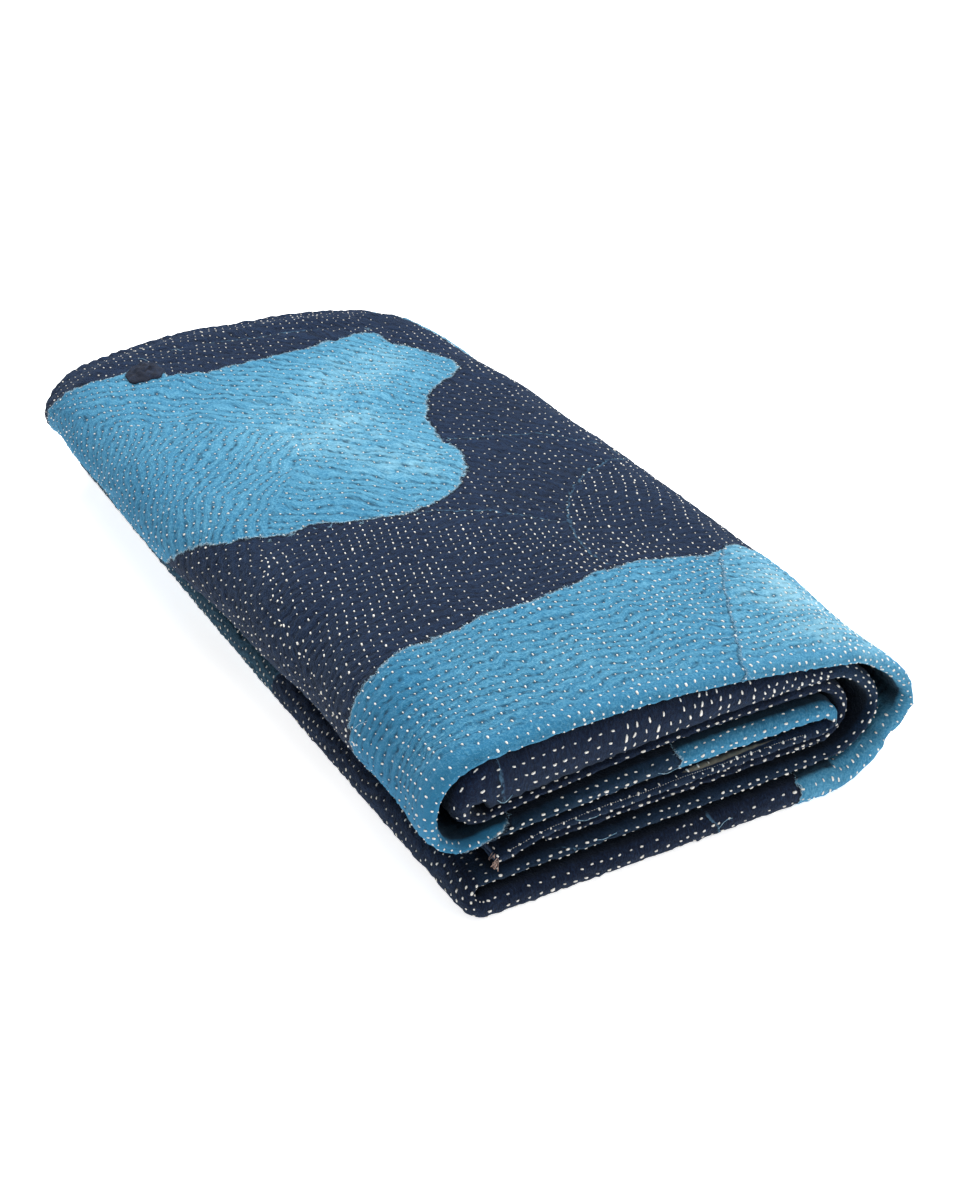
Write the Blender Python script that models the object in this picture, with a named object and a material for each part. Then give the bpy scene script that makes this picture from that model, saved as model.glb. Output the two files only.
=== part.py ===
# Kantha quilt, folded into a long flat bundle.
#
# One sheet of stitched cloth. It is folded in half crosswise, so that every run of the bundle is two
# thicknesses joined by a soft fold at the front end. The doubled sheet is then laid back and forth,
# and the last runs wrap round the others.
#
# The section of the bundle is worked out first, in X and Z, at the front end and at the back end.
# The cloth is then skinned between the two along Y. X runs across the bundle, Y from the front end
# to the back end, Z up from the floor. Units are metres.

import math
from collections import namedtuple

import bmesh
import bpy
from mathutils import Vector

# ---- driving dimensions -------------------------------------------------------------------------

BUNDLE_LENGTH = 0.793     # front folds to the middle of the back end
SHEET_THICK = 0.0040      # one thickness of the stitched cloth
INNER_GAP = 0.0008        # least air between the two thicknesses of a run
LAYER_GAP = 0.0006        # air left above and below a run
FAR_PITCH = 0.0141        # height of one doubled run at the back end
FAR_HOLD = 0.55           # how far a turn holds the direction of its tip at the back end
FAR_PINCH = 0.84          # the doubled cloth is pressed thinner where it turns at the back end
SETTLE = 0.0010           # how far the bottom run is pressed flat on the floor

LEFT_X, MID_X, RIGHT_X = 0.03, 0.16, 0.28     # stations where the run table states its heights
CROWN = 0.04              # share of height that the back end loses at CROWN_WIDTH from the middle
CROWN_WIDTH = 0.19
SPREAD_LENGTH = 0.78      # the puffed front end evens out over this length
FRONT_DEPTH = 0.011       # how far a front fold is rounded, front to back
CORNER_MID_X = 0.178      # the back end is straight here and rounded off towards its corners
CORNER_REACH = 0.155
CORNER_CUT = 0.036        # how far it is cut back at CORNER_REACH
LEFT_CORNER_SHARE = 0.78  # the left corner is cut back less
DROOP = 0.09              # share of height lost at the very back edge
DROOP_LENGTH = 0.05

UPPER_LEFT_SWAY = -0.010  # the upper folds lean out past the lower ones half way along
UPPER_RIGHT_SWAY = 0.019
UPPER_LEFT_TUCK = 0.0125  # the upper left fold stands back from the lower ones over this share
TUCK_SHARE = 0.56
LOWER_LEFT_SWAY = 0.014   # the lower folds draw in towards the back end
UPPER_HEIGHT = 0.035      # where the upper folds begin, and over what height they take over
UPPER_BLEND = 0.03
LEFT_EDGE, RIGHT_EDGE, EDGE_WIDTH = 0.10, 0.22, 0.12

RUN_STEPS = 5             # facets along a run and along half a turn
HALF_TURN_STEPS = 4
LENGTH_STATIONS = (1.0, 0.985, 0.95, 0.85, 0.62, 0.36, 0.15, 0.05)
FRONT_ANGLES = (90, 52, 18, -18, -52, -90)

CLOTH_COLOUR = (0.018, 0.032, 0.080, 1.0)
CLOTH_ROUGHNESS = 0.9

# Runs in the order of the cloth, from the hemmed end to the other end. rank counts from the floor,
# z is the height of the middle of the doubled run, half is half its height, tuck is how far its
# front fold sits back.
Run = namedtuple("Run", "name rank x_from x_to z_left z_mid z_right half_left half_mid half_right tuck")
RUNS = (
    Run("hem",         4, 0.022, 0.284, 0.0465, 0.0502, 0.0518, 0.0051, 0.0062, 0.0057, 0.003),
    Run("tongue",      5, 0.284, 0.004, 0.0568, 0.0652, 0.0658, 0.0052, 0.0088, 0.0082, 0.005),
    Run("top",         8, 0.018, 0.300, 0.1245, 0.1253, 0.1105, 0.0058, 0.0058, 0.0056, 0.000),
    Run("bottom",      1, 0.292, 0.008, 0.0105, 0.0108, 0.0124, 0.0105, 0.0108, 0.0124, -0.007),
    Run("second",      2, 0.008, 0.292, 0.0261, 0.0278, 0.0300, 0.0051, 0.0062, 0.0052, 0.002),
    Run("roll",        7, 0.286, 0.020, 0.0955, 0.1014, 0.0962, 0.0222, 0.0176, 0.0082, 0.006),
    Run("under roll",  6, 0.020, 0.286, 0.0669, 0.0789, 0.0810, 0.0050, 0.0050, 0.0070, 0.014),
    Run("third",       3, 0.286, 0.064, 0.0363, 0.0390, 0.0405, 0.0051, 0.0050, 0.0053, 0.009),
)

# Turns that follow those runs: the tip at the front end, how far out the tip is at the back end, and
# how far the curve of the front end holds the direction of the run and of the tip before it bends
# (0.55 makes an ellipse). pinch is how far the doubled cloth is pressed together there.
Turn = namedtuple("Turn", "after tip_x tip_z far_tip_x hold_run hold_tip far_hold pinch")
TURNS = (
    Turn("hem",        0.2935, 0.0588, 0.2908, 0.55, 0.55, 0.55, 0.84),
    Turn("tongue",    -0.0255, 0.0850, -0.0190, 0.60, 0.55, 0.55, 1.35),
    Turn("top",        0.3545, 0.0640, 0.3600, 0.34, 0.38, 0.55, 0.60),
    Turn("bottom",    -0.0005, 0.0180, 0.0010, 0.55, 0.55, 0.55, 0.80),
    Turn("second",     0.3300, 0.0620, 0.3270, 0.50, 0.48, 0.55, 0.80),
    Turn("roll",       0.0010, 0.0800, 0.0110, 0.45, 0.55, 0.55, 0.56),
    Turn("under roll", 0.3080, 0.0600, 0.3080, 0.50, 0.50, 0.55, 0.84),
)

# A spot on the middle line of the doubled cloth.
Spot = namedtuple("Spot", "x z half tuck")


# ---- the section --------------------------------------------------------------------------------

def smooth(value):
    """Ease from 0 to 1."""
    value = min(1.0, max(0.0, value))
    return value * value * (3.0 - 2.0 * value)


def blend(a, b, share):
    """A spot part of the way from a to b."""
    return Spot(*(p + (q - p) * share for p, q in zip(a, b)))


def bezier(curve, share):
    """A spot on a Bezier curve, by repeated blending of its control spots."""
    while len(curve) > 1:
        curve = [blend(a, b, share) for a, b in zip(curve, curve[1:])]
    return curve[0]


def through_stations(x, left, mid, right):
    """Read a smooth curve through the values at the three stations."""
    a = left * (x - MID_X) * (x - RIGHT_X) / ((LEFT_X - MID_X) * (LEFT_X - RIGHT_X))
    b = mid * (x - LEFT_X) * (x - RIGHT_X) / ((MID_X - LEFT_X) * (MID_X - RIGHT_X))
    c = right * (x - LEFT_X) * (x - MID_X) / ((RIGHT_X - LEFT_X) * (RIGHT_X - MID_X))
    return a + b + c


def near_spot(run, x):
    """A run at the front end, as uneven as the table says."""
    z = through_stations(x, run.z_left, run.z_mid, run.z_right)
    half = through_stations(x, run.half_left, run.half_mid, run.half_right)
    return Spot(x, z, half - LAYER_GAP, run.tuck)


def far_spot(run, x):
    """A run at the back end, where the runs lie evenly under a low crown."""
    crown = 1.0 - CROWN * ((x - MID_X) / CROWN_WIDTH) ** 2
    return Spot(x, (run.rank - 0.5) * FAR_PITCH * crown, FAR_PITCH * crown / 2 - LAYER_GAP, run.tuck)


def half_turn(run_end, tip, hold_run, hold_tip):
    """Spots strictly between the end of a run and the tip of the turn beside it."""
    held_x = run_end.x + (tip.x - run_end.x) * hold_run
    held_z = tip.z + (run_end.z - tip.z) * hold_tip
    leave_run = blend(run_end, tip, 1 / 3)._replace(x=held_x, z=run_end.z)
    reach_tip = blend(run_end, tip, 2 / 3)._replace(x=tip.x, z=held_z)
    curve = [run_end, leave_run, reach_tip, tip]
    return [bezier(curve, step / HALF_TURN_STEPS) for step in range(1, HALF_TURN_STEPS)]


def whole_turn(start, end, turn, is_far):
    """Spots of a turn, without the two run ends that it joins."""
    middle = blend(start, end, 0.5)
    tip = middle._replace(x=turn.tip_x, z=turn.tip_z, half=middle.half * turn.pinch)
    holds = (turn.hold_run, turn.hold_tip)
    if is_far:
        tip = middle._replace(x=turn.far_tip_x, half=middle.half * FAR_PINCH)
        holds = (turn.far_hold, FAR_HOLD)
    return half_turn(start, tip, *holds) + [tip] + half_turn(end, tip, *holds)[::-1]


def section(spot_on_run, is_far):
    """The middle line of the folded cloth, from its hemmed end to its other end."""
    spots = []
    for index, run in enumerate(RUNS):
        if index > 0:
            start = spot_on_run(run, run.x_from)
            spots += whole_turn(spots[-1], start, TURNS[index - 1], is_far)
        for step in range(RUN_STEPS + 1):
            x = run.x_from + (run.x_to - run.x_from) * step / RUN_STEPS
            spots.append(spot_on_run(run, x))
    return spots


def normals_of(spots):
    """Unit normals in the X-Z plane, to the left of the direction of travel."""
    normals = []
    for index in range(len(spots)):
        before = spots[max(index - 1, 0)]
        after = spots[min(index + 1, len(spots) - 1)]
        normals.append(Vector((before.z - after.z, after.x - before.x)).normalized())
    return normals


NEAR = section(near_spot, False)
FAR = section(far_spot, True)
NEAR_NORMALS = normals_of(NEAR)
FAR_NORMALS = normals_of(FAR)


# ---- the cloth in space -------------------------------------------------------------------------

def back_edge(x):
    """Where the back end lies: straight in the middle and rounded at the corners."""
    cut = CORNER_CUT * (LEFT_CORNER_SHARE if x < CORNER_MID_X else 1.0)
    return BUNDLE_LENGTH - cut * (abs(x - CORNER_MID_X) / CORNER_REACH) ** 3


def sway(x, y, z):
    """Sideways lean of the folds, which differs between the upper and the lower ones."""
    along = min(1.0, max(0.0, y / BUNDLE_LENGTH))
    upper = smooth((z - UPPER_HEIGHT) / UPPER_BLEND)
    left = smooth((LEFT_EDGE - x) / EDGE_WIDTH)
    right = smooth((x - RIGHT_EDGE) / EDGE_WIDTH)
    bow = math.sin(math.pi * along)
    tuck_in = math.sin(math.pi * min(1.0, along / TUCK_SHARE))
    left_lean = left * (bow * UPPER_LEFT_SWAY + tuck_in * UPPER_LEFT_TUCK)
    upper_lean = upper * (left_lean + right * bow * UPPER_RIGHT_SWAY)
    lower_lean = (1.0 - upper) * left * LOWER_LEFT_SWAY * along ** 2
    return upper_lean + lower_lean


def place(index, offset_share, inset, y_share, front_shift):
    """A point of the cloth. offset_share is the place across the doubled run, from -1 to 1, and
    inset is how far the point lies inside its outer skin."""
    near = NEAR[index]
    y = near.tuck + front_shift + (back_edge(near.x) - near.tuck) * y_share
    even = smooth(y / SPREAD_LENGTH)
    spot = blend(near, FAR[index], even)
    normal = NEAR_NORMALS[index].lerp(FAR_NORMALS[index], even).normalized()
    offset = (max(spot.half, SHEET_THICK + INNER_GAP / 2) - inset) * offset_share
    x = spot.x + normal.x * offset
    z = spot.z + normal.y * offset
    droop = DROOP * smooth(1.0 - (1.0 - y_share) * BUNDLE_LENGTH / DROOP_LENGTH)
    z = max(0.0, z * (1.0 - droop) - SETTLE)
    return Vector((x + sway(x, y, z), y, z))


def skin_line(index, inset):
    """One line of skin, from the back end forward, round the front fold and back again."""
    line = [place(index, 1.0, inset, share, FRONT_DEPTH) for share in LENGTH_STATIONS]
    for angle in FRONT_ANGLES:
        turn = math.radians(angle)
        forward = inset + (FRONT_DEPTH - inset) * (1.0 - math.cos(turn))
        line.append(place(index, math.sin(turn), inset, 0.0, forward))
    line += [place(index, -1.0, inset, share, FRONT_DEPTH) for share in reversed(LENGTH_STATIONS)]
    return line


def bridge(mesh, line_a, line_b):
    """Faces between two lines of vertices."""
    for step in range(len(line_a) - 1):
        mesh.faces.new((line_a[step], line_a[step + 1], line_b[step + 1], line_b[step]))


def centre_on_floor(mesh):
    """Put the origin under the middle of the bundle, at floor level."""
    xs = [vert.co.x for vert in mesh.verts]
    ys = [vert.co.y for vert in mesh.verts]
    middle = Vector(((min(xs) + max(xs)) / 2, (min(ys) + max(ys)) / 2, 0.0))
    bmesh.ops.translate(mesh, verts=mesh.verts, vec=-middle)


def build_quilt():
    """Skin the folded cloth outside and inside, and close its edges."""
    mesh = bmesh.new()
    outer = [[mesh.verts.new(point) for point in skin_line(i, 0.0)] for i in range(len(NEAR))]
    inner = [[mesh.verts.new(point) for point in skin_line(i, SHEET_THICK)] for i in range(len(NEAR))]
    for skin in (outer, inner):
        for line, next_line in zip(skin, skin[1:]):
            bridge(mesh, line, next_line)
    for end in (0, -1):
        bridge(mesh, outer[end], inner[end])
        bridge(mesh, [line[end] for line in outer], [line[end] for line in inner])
    centre_on_floor(mesh)
    bmesh.ops.recalc_face_normals(mesh, faces=mesh.faces)
    data = bpy.data.meshes.new("quilt")
    mesh.to_mesh(data)
    mesh.free()
    data.shade_smooth()
    data.materials.append(cloth_material())
    quilt = bpy.data.objects.new("quilt", data)
    bpy.context.scene.collection.objects.link(quilt)


def cloth_material():
    """Soft indigo cotton."""
    material = bpy.data.materials.new("indigo cotton")
    material.use_nodes = True
    shader = material.node_tree.nodes["Principled BSDF"]
    shader.inputs["Base Color"].default_value = CLOTH_COLOUR
    shader.inputs["Roughness"].default_value = CLOTH_ROUGHNESS
    shader.inputs["Metallic"].default_value = 0.0
    return material


for leftover in list(bpy.data.objects):
    bpy.data.objects.remove(leftover, do_unlink=True)

build_quilt()
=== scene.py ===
import math
from collections import namedtuple

import bmesh
import bpy
import numpy as np
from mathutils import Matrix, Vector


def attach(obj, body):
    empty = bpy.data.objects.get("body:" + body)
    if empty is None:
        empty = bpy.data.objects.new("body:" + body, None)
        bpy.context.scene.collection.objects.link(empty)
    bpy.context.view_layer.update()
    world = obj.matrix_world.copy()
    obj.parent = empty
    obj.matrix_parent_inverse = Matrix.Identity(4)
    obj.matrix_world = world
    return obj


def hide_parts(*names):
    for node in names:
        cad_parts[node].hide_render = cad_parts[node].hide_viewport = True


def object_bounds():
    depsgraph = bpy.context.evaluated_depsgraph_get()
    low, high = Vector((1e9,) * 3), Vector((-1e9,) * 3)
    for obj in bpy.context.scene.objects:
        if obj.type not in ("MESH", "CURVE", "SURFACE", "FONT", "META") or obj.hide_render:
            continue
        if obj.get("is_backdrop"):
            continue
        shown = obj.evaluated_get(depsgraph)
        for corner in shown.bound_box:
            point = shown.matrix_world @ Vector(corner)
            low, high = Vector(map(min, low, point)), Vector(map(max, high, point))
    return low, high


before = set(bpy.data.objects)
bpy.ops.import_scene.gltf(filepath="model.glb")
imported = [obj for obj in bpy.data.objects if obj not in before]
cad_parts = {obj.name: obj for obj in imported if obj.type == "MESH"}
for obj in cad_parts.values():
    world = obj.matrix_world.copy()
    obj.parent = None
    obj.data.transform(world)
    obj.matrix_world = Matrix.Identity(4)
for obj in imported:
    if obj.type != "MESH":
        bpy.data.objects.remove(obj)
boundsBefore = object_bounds()
print("frame loaded")


def addObject(name, data):
    made = bpy.data.objects.new(name, data)
    bpy.context.scene.collection.objects.link(made)
    return made


# the camera, metres and degrees
view = dict(place=(-0.6568, -1.2636, 0.7987), tilt=60.52, turn=-29.66, lens=58.5, sensor=36)
cameraData = bpy.data.cameras.new("camera")
cameraData.lens = view["lens"]
cameraData.sensor_width = view["sensor"]
camera = addObject("camera", cameraData)
camera.location = view["place"]
camera.rotation_euler = (math.radians(view["tilt"]), 0, math.radians(view["turn"]))
bpy.context.scene.camera = camera
bpy.context.scene.view_settings.view_transform = "Standard"

rng = np.random.default_rng(7)

# the folded cloth, the same folds as its solid
fold = dict(
    length=0.793, thick=0.0040, innerGap=0.0008, layerGap=0.0006, settle=0.0010, arcHalf=0.0145,
    backHem=0.002, middleX=0.171017, middleY=0.398769, leftX=0.03, midX=0.16, rightX=0.28, spread=0.78,
    frontDepth=0.011, farPitch=0.0141, farHold=0.55, farPinch=0.84, crown=0.04, crownWidth=0.19,
    cornerMidX=0.178, cornerReach=0.155, cornerCut=0.036, leftCornerShare=0.78, droop=0.09,
    droopLength=0.05, upperHeight=0.035, upperBlend=0.03, leftEdge=0.10, rightEdge=0.22, edgeWidth=0.12,
    upperLeftSway=-0.010, upperRightSway=0.019, upperLeftTuck=0.0125, tuckShare=0.56, lowerLeftSway=0.014)

# facet is the length of a facet; the run is finely meshed left of fineLeft and right of fineRight
Run = namedtuple("Run", "name rank xFrom xTo zLeft zMid zRight halfLeft halfMid halfRight tuck "
                        "fineLeft fineRight facet", defaults=(0, 9, 0.0042))
runs = (
    Run("hem",       4, 0.022, 0.284, 0.0465, 0.0502, 0.0518, 0.0051, 0.0062, 0.0057, 0.003),
    Run("tongue",    5, 0.284, 0.004, 0.0568, 0.0652, 0.0658, 0.0052, 0.0088, 0.0082, 0.005, 0.04),
    Run("top",       8, 0.018, 0.300, 0.1245, 0.1253, 0.1105, 0.0058, 0.0058, 0.0056, 0.000, 9, 9, 0.0034),
    Run("bottom",    1, 0.292, 0.008, 0.0105, 0.0108, 0.0124, 0.0105, 0.0108, 0.0124, -0.007, 0.03, 0.27),
    Run("second",    2, 0.008, 0.292, 0.0261, 0.0278, 0.0300, 0.0051, 0.0062, 0.0052, 0.002, 0.03),
    Run("roll",      7, 0.286, 0.020, 0.0955, 0.1014, 0.0962, 0.0222, 0.0176, 0.0082, 0.006),
    Run("underRoll", 6, 0.020, 0.286, 0.0669, 0.0789, 0.0810, 0.0050, 0.0050, 0.0070, 0.014),
    Run("third",     3, 0.286, 0.064, 0.0363, 0.0390, 0.0405, 0.0051, 0.0050, 0.0053, 0.009),
)
# steps is the number of facets in half a turn, pinch how far the doubled cloth is pressed together there
Turn = namedtuple("Turn", "after tipX tipZ farTipX holdRun holdTip farHold pinch steps fine")
turns = (
    Turn("hem",       0.2935, 0.0588, 0.2908, 0.55, 0.55, 0.55, 0.84, 5, False),
    Turn("tongue",   -0.0255, 0.0850, -0.0190, 0.60, 0.55, 0.55, 1.35, 18, True),
    Turn("top",       0.3545, 0.0640, 0.3600, 0.34, 0.38, 0.55, 0.60, 20, True),
    Turn("bottom",   -0.0005, 0.0180, 0.0010, 0.55, 0.55, 0.55, 0.80, 6, True),
    Turn("second",    0.3300, 0.0620, 0.3270, 0.50, 0.48, 0.55, 0.80, 10, False),
    Turn("roll",      0.0010, 0.0800, 0.0110, 0.45, 0.55, 0.55, 0.56, 9, False),
    Turn("underRoll", 0.3080, 0.0600, 0.3080, 0.50, 0.50, 0.55, 0.84, 8, False),
)


def smooth(value):
    value = np.clip(value, 0, 1)
    return value * value * (3 - 2 * value)


def throughStations(x, left, mid, right):
    l, m, r = fold["leftX"], fold["midX"], fold["rightX"]
    a = left * (x - m) * (x - r) / ((l - m) * (l - r))
    b = mid * (x - l) * (x - r) / ((m - l) * (m - r))
    c = right * (x - l) * (x - m) / ((r - l) * (r - m))
    return a + b + c


def nearSpot(run, x):    # x, z, half height and tuck at the front end
    z = throughStations(x, run.zLeft, run.zMid, run.zRight)
    half = throughStations(x, run.halfLeft, run.halfMid, run.halfRight)
    return np.array((x, z, half - fold["layerGap"], run.tuck))


def farSpot(run, x):     # the same at the back end
    crown = 1 - fold["crown"] * ((x - fold["midX"]) / fold["crownWidth"]) ** 2
    half = fold["farPitch"] * crown / 2 - fold["layerGap"]
    return np.array((x, (run.rank - 0.5) * fold["farPitch"] * crown, half, run.tuck))


def halfTurn(end, tip, holdRun, holdTip, steps):
    a = end + (tip - end) / 3
    b = end + (tip - end) * 2 / 3
    a[:2] = end[0] + (tip[0] - end[0]) * holdRun, end[1]
    b[:2] = tip[0], tip[1] + (end[1] - tip[1]) * holdTip
    spots = []
    for step in range(1, steps):
        t = step / steps
        s = 1 - t
        spots.append(end * s ** 3 + a * 3 * s * s * t + b * 3 * s * t * t + tip * t ** 3)
    return spots


def section(spotOnRun, isFar):
    spots, fine, starts = [], [], {}
    for index, run in enumerate(runs):
        first = spotOnRun(run, run.xFrom)
        if index:
            turn = turns[index - 1]
            tip = (spots[-1] + first) / 2
            tip[2] *= fold["farPinch"] if isFar else turn.pinch
            holds = (turn.farHold, fold["farHold"]) if isFar else (turn.holdRun, turn.holdTip)
            tip[:2] = (turn.farTipX, tip[1]) if isFar else (turn.tipX, turn.tipZ)
            bend = halfTurn(spots[-1], tip, *holds, turn.steps) + [tip]
            bend += halfTurn(first, tip, *holds, turn.steps)[::-1]
            spots += bend
            fine += [turn.fine] * len(bend)
        starts[run.name] = len(spots)
        steps = max(2, round(abs(run.xTo - run.xFrom) / run.facet))
        for step in range(steps + 1):
            x = run.xFrom + (run.xTo - run.xFrom) * step / steps
            spots.append(spotOnRun(run, x))
            fine.append(x < run.fineLeft or x > run.fineRight)
    return np.array(spots), np.array(fine), starts


def normalsOf(spots):
    along = np.empty((len(spots), 2))
    along[1:-1] = spots[2:, :2] - spots[:-2, :2]
    along[0] = spots[1, :2] - spots[0, :2]
    along[-1] = spots[-1, :2] - spots[-2, :2]
    across = np.stack((-along[:, 1], along[:, 0]), 1)
    return across / np.linalg.norm(across, axis=1)[:, None]


near, fineColumn, runStart = section(nearSpot, False)
far, _, _ = section(farSpot, True)
# the free end of the hem hangs into the gap below it
hemEnd = dict(drop=0.0075, fromX=0.066, reach=0.044)
hemColumns = np.arange(len(near)) < runStart["tongue"] // 2
near[:, 1] -= hemColumns * hemEnd["drop"] * smooth((hemEnd["fromX"] - near[:, 0]) / hemEnd["reach"])
nearNormal, farNormal = normalsOf(near), normalsOf(far)


def sway(x, y, z):
    along = np.clip(y / fold["length"], 0, 1)
    upper = smooth((z - fold["upperHeight"]) / fold["upperBlend"])
    left = smooth((fold["leftEdge"] - x) / fold["edgeWidth"])
    right = smooth((x - fold["rightEdge"]) / fold["edgeWidth"])
    bow = np.sin(math.pi * along)
    tuckIn = np.sin(math.pi * np.minimum(1, along / fold["tuckShare"]))
    leftLean = left * (bow * fold["upperLeftSway"] + tuckIn * fold["upperLeftTuck"])
    upperLean = upper * (leftLean + right * bow * fold["upperRightSway"])
    return upperLean + (1 - upper) * left * fold["lowerLeftSway"] * along ** 2


def place(columns, lines, inset):    # lines holds offsetShare, yShare and angle, one row each
    offsetShare, yShare, angle = (part[None, :] for part in lines.T)
    a, b = near[columns][:, None, :], far[columns][:, None, :]
    shift = np.where(yShare > 0, fold["frontDepth"],
                     inset + (fold["frontDepth"] - inset) * (1 - np.cos(angle)))
    cut = fold["cornerCut"] * np.where(a[..., 0] < fold["cornerMidX"], fold["leftCornerShare"], 1)
    back = fold["length"] - cut * (abs(a[..., 0] - fold["cornerMidX"]) / fold["cornerReach"]) ** 3
    y = a[..., 3] + shift + (back - a[..., 3]) * yShare
    even = smooth(y / fold["spread"])
    spot = a + (b - a) * even[..., None]
    normalA, normalB = nearNormal[columns][:, None, :], farNormal[columns][:, None, :]
    normal = normalA + (normalB - normalA) * even[..., None]
    normal /= np.linalg.norm(normal, axis=2)[..., None]
    offset = (np.maximum(spot[..., 2], fold["thick"] + fold["innerGap"] / 2) - inset) * offsetShare
    x = spot[..., 0] + normal[..., 0] * offset
    z = spot[..., 1] + normal[..., 1] * offset
    droop = fold["droop"] * smooth(1 - (1 - yShare) * fold["length"] / fold["droopLength"])
    z = np.maximum(0, z * (1 - droop) - fold["settle"])
    return np.stack((x + sway(x, y, z) - fold["middleX"], y - fold["middleY"], z), 2)


def lineTable(backShares, arcSteps):    # from the back end, round the front fold and back
    rows = [(1, share, math.pi / 2) for share in backShares]
    for step in range(arcSteps + 1):
        angle = math.pi / 2 - math.pi * step / arcSteps
        rows.append((math.sin(angle), 0, angle))
    rows += [(-1, share, -math.pi / 2) for share in coarseShares[::-1]]
    return np.array(rows)


def lineW(table):    # distance along the cloth from the front fold line, below zero underneath
    flat = fold["arcHalf"] + table[:, 1] * (fold["length"] - fold["backHem"])
    arc = fold["arcHalf"] * table[:, 2] / (math.pi / 2)
    return np.where(table[:, 1] > 0, np.sign(table[:, 0]) * flat, arc)


# how far back the lines stand, as a share of the length; the front fold itself has arc steps
mesher = dict(fineLines=315, fineFrom=0.042, arcSteps=12, innerArcSteps=5, innerEvery=5)
farShares = [1.0, 0.985, 0.95, 0.85, 0.62, 0.36, 0.15]
bandShares = [0.036, 0.027, 0.0195, 0.013, 0.0075, 0.003]
coarseShares = farShares + [0.06] + bandShares
fineShares = list(np.linspace(1.0, mesher["fineFrom"], mesher["fineLines"])) + bandShares
fineTable = lineTable(fineShares, mesher["arcSteps"])
coarseTable = lineTable(coarseShares, mesher["arcSteps"])
innerTable = lineTable(farShares + [0.05], mesher["innerArcSteps"])
fineW, coarseW = lineW(fineTable), lineW(coarseTable)

# the cloth's own coordinates: u across the bundle from the start of the top run, w along it
columnCount = len(near)
middleLine = np.linalg.norm(np.diff(near[:, :2], axis=0), axis=1)
outerNear = place(np.arange(columnCount), np.array([[1.0, 0.4, math.pi / 2]]), 0)[:, 0]
outerLine = np.linalg.norm(np.diff(outerNear, axis=0), axis=1)
isFineGap = fineColumn[1:] & fineColumn[:-1]
u = np.concatenate(([0], np.cumsum(np.where(isFineGap, outerLine, middleLine))))
u -= u[runStart["top"]]
uOf = {name: float(u[i]) for name, i in runStart.items()}
print("columns", columnCount, "fine", int(fineColumn.sum()), "flat length", round(float(u[-1] - u[0]), 3))
print("run starts", {k: round(v, 4) for k, v in uOf.items()})


def waves(a, b, seed, length, count=7):    # smooth seeded waviness of about that wavelength, -1 to 1
    draw = np.random.default_rng(seed)
    total = 0
    for _ in range(count):
        turn = draw.uniform(0, 2 * math.pi)
        k = 2 * math.pi / (length * draw.uniform(0.7, 1.6))
        total = total + np.sin((a * math.cos(turn) + b * math.sin(turn)) * k + draw.uniform(0, 7))
    return total / math.sqrt(count)


# patches, in metres on the cloth: u, w
patches = {
    "front": [(-0.160, -0.06), (-0.153, -0.010), (-0.147, -0.005), (-0.126, 0.000), (-0.108, 0.006),
              (-0.104, 0.012), (-0.120, 0.030), (-0.113, 0.085), (-0.083, 0.116), (-0.072, 0.122),
              (-0.063, 0.127), (-0.045, 0.130), (-0.025, 0.133), (0.004, 0.143), (0.050, 0.138),
              (0.077, 0.147), (0.109, 0.146), (0.151, 0.157), (0.200, 0.170), (0.233, 0.174), (0.259, 0.174),
              (0.278, 0.167), (0.310, 0.183), (0.353, 0.193), (0.420, 0.190), (0.490, 0.170), (0.532, 0.100),
              (0.529, 0.0), (0.524, -0.06)],
    "back": [(-0.130, 0.800), (-0.075, 0.800), (-0.049, 0.789), (-0.037, 0.773), (-0.008, 0.748),
             (0.025, 0.729), (0.046, 0.714), (0.064, 0.687), (0.105, 0.677), (0.163, 0.684), (0.218, 0.688),
             (0.270, 0.705), (0.277, 0.695), (0.275, 0.677), (0.300, 0.643), (0.305, 0.613), (0.297, 0.585),
             (0.254, 0.553), (0.230, 0.523), (0.215, 0.489), (0.201, 0.441), (0.204, 0.418), (0.193, 0.377),
             (0.168, 0.350), (0.136, 0.328), (0.106, 0.320), (0.080, 0.323), (0.039, 0.348), (0.022, 0.350),
             (0.005, 0.355), (-0.031, 0.388), (-0.059, 0.436), (-0.071, 0.453), (-0.130, 0.520)],
    "tongue": [(-0.413, -0.06), (-0.413, 0.06), (-0.283, 0.06), (-0.280, 0.006), (-0.278, -0.06)],
    "farRight": [(0.321, 0.840), (0.327, 0.745), (0.343, 0.700), (0.341, 0.655), (0.420, 0.600),
                 (0.420, 0.840)],
}
tealPatch = [(0.690, 0.340), (0.800, 0.326), (0.816, 0.319), (0.850, 0.286), (0.960, 0.280), (0.960, 0.900),
             (0.690, 0.900)]
# a slip of beige lining that shows at the hem
beigePatch = [(-0.547, 0.0085), (-0.532, 0.0118), (-0.502, 0.0130), (-0.462, 0.0100), (-0.502, 0.0078),
              (-0.532, 0.0075)]
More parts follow.
